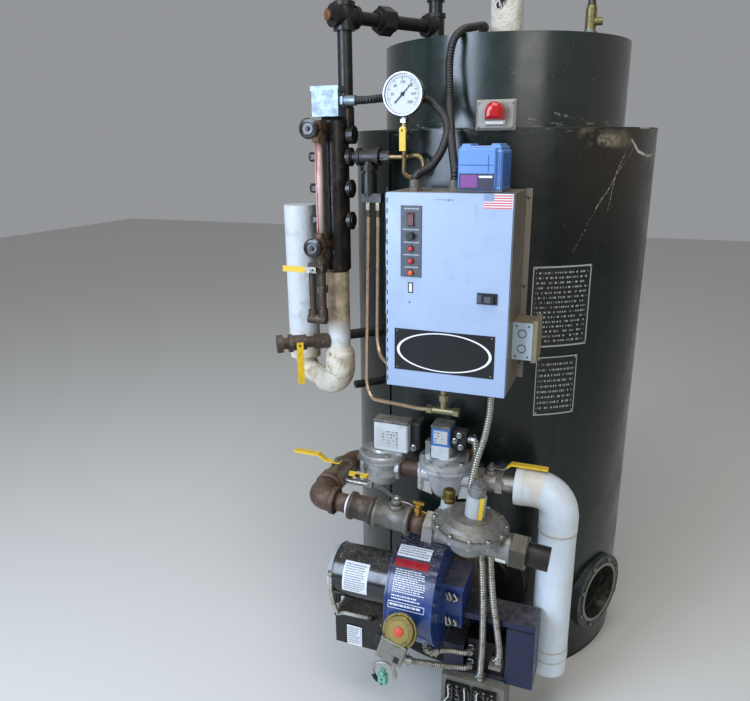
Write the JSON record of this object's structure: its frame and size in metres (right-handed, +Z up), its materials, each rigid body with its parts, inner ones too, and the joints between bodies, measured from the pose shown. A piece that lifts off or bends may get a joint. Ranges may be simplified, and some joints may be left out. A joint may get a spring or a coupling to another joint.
{
  "type": "vertical steam boiler",
  "caption": "Vertical gas-fired steam boiler with burner, gas train, water column, gauge and control cabinet.",
  "frame": {"origin": "on the floor under the axis of the casing", "axes": "+Z up along the casing's axis, -Y towards the control cabinet at the front, +X to the right seen from the front"},
  "size_m": [0.8782, 1.1856, 1.752],
  "materials": {
    "casing_paint": "semi-gloss dark green enamel, scuffed",
    "black_steel": "black-painted steel and iron, dusty",
    "flue_steel": "dull galvanised sheet",
    "burner_paint": "gloss blue enamel, dusty",
    "motor_paint": "black enamel",
    "switch_zinc": "yellow zinc plate",
    "relay_paint": "grey enamel",
    "jacket_plastic": "white plastic jacket, yellowed at the laps",
    "valve_metal": "cast aluminium, dusty",
    "lever_vinyl": "yellow vinyl sleeve on a steel lever",
    "pipe_iron": "rusty malleable iron",
    "fitting_brass": "dull brass",
    "cabinet_paint": "pale blue-grey enamel",
    "panel_plastic": "black plastic and phenolic",
    "box_metal": "zinc-plated box",
    "module_plastic": "blue plastic",
    "lamp_glass": "red plastic lens",
    "gauge_steel": "polished stainless steel",
    "tube_copper": "dull copper",
    "lagging_cloth": "painted canvas lagging",
    "conduit_black": "black flexible conduit"
  },
  "bodies": {
    "boiler": {"base_plate": "black_steel", "lower_casing": "casing_paint", "shoulder_plate": "casing_paint", "upper_casing": "casing_paint", "top_plate": "casing_paint", "pressure_vessel": "black_steel", "seam_strip": "casing_paint", "access_ring": "casing_paint", "flue_collar": "flue_steel", "burner_plate": "black_steel", "burner_head": "burner_paint", "blower_housing": "burner_paint", "burner_motor": "motor_paint", "ignition_box": "motor_paint", "pressure_switch": "switch_zinc", "burner_cabinet": "burner_paint", "relay_box": "relay_paint", "gas_riser": "jacket_plastic", "riser_valve": "valve_metal", "first_gas_valve": "valve_metal", "second_gas_valve": "valve_metal", "rear_gas_pipe": "pipe_iron", "inlet_valve": "valve_metal", "front_gas_pipe": "pipe_iron", "regulator": "valve_metal", "pilot_line": "fitting_brass", "cabinet_body": "cabinet_paint", "side_box": "box_metal", "flame_module": "module_plastic", "alarm_light": "lamp_glass", "column_body": "black_steel", "column_box": "box_metal", "gauge_glass": "fitting_brass", "top_piping": "black_steel", "feed_pipe": "black_steel", "pressure_gauge": "gauge_steel", "siphon": "fitting_brass", "control_tee": "black_steel", "copper_lines": "tube_copper", "balance_pipe": "lagging_cloth", "drain_valve": "pipe_iron", "blowdown_valve": "pipe_iron", "steam_outlet": "lagging_cloth", "safety_valve": "fitting_brass", "conduits": "conduit_black"},
    "door": {"cabinet_door": "cabinet_paint", "door_controls": "panel_plastic"},
    "riser_lever": {"riser_valve_lever": "lever_vinyl"},
    "inlet_lever": {"inlet_valve_lever": "lever_vinyl"},
    "upper_wheel": {"upper_handwheel": "panel_plastic"},
    "lower_wheel": {"lower_handwheel": "panel_plastic"},
    "cock_lever": {"gauge_cock_lever": "lever_vinyl"},
    "drain_handle": {"drain_lever": "lever_vinyl"},
    "blowdown_handle": {"blowdown_lever": "lever_vinyl"},
    "safety_handle": {"safety_lever": "gauge_steel"}
  },
  "joints": [
    {"name": "door_hinge", "type": "hinge", "parent": "boiler", "child": "door", "pos_m": [-0.116, -0.554, 1.064], "axis": [0, 0, -1], "range_deg": [0, 110]},
    {"name": "riser_lever_turn", "type": "hinge", "parent": "boiler", "child": "riser_lever", "pos_m": [0.098, -0.44, 0.637], "axis": [0, 0, -1], "range_deg": [0, 90]},
    {"name": "inlet_lever_turn", "type": "hinge", "parent": "boiler", "child": "inlet_lever", "pos_m": [-0.25, -0.542, 0.637], "axis": [0, 0, 1], "range_deg": [0, 90]},
    {"name": "upper_wheel_turn", "type": "hinge", "parent": "boiler", "child": "upper_wheel", "pos_m": [-0.321, -0.445, 1.392], "axis": [0, -1, 0], "range_deg": [0, 540]},
    {"name": "lower_wheel_turn", "type": "hinge", "parent": "boiler", "child": "lower_wheel", "pos_m": [-0.321, -0.445, 1.134], "axis": [0, -1, 0], "range_deg": [0, 540]},
    {"name": "cock_lever_turn", "type": "hinge", "parent": "boiler", "child": "cock_lever", "pos_m": [-0.13, -0.419, 1.386], "axis": [0, -1, 0], "range_deg": [0, 90]},
    {"name": "drain_lever_turn", "type": "hinge", "parent": "boiler", "child": "drain_handle", "pos_m": [-0.333, -0.4673, 1.08], "axis": [0, -1, 0], "range_deg": [0, 90]},
    {"name": "blowdown_lever_turn", "type": "hinge", "parent": "boiler", "child": "blowdown_handle", "pos_m": [-0.3745, -0.46902, 0.893], "axis": [-0.5878, 0.809, 0], "range_deg": [0, 90]},
    {"name": "safety_lever_lift", "type": "hinge", "parent": "boiler", "child": "safety_handle", "pos_m": [0.204, -0.0175, 1.703], "axis": [0, -1, 0], "range_deg": [0, 25]}
  ]
}
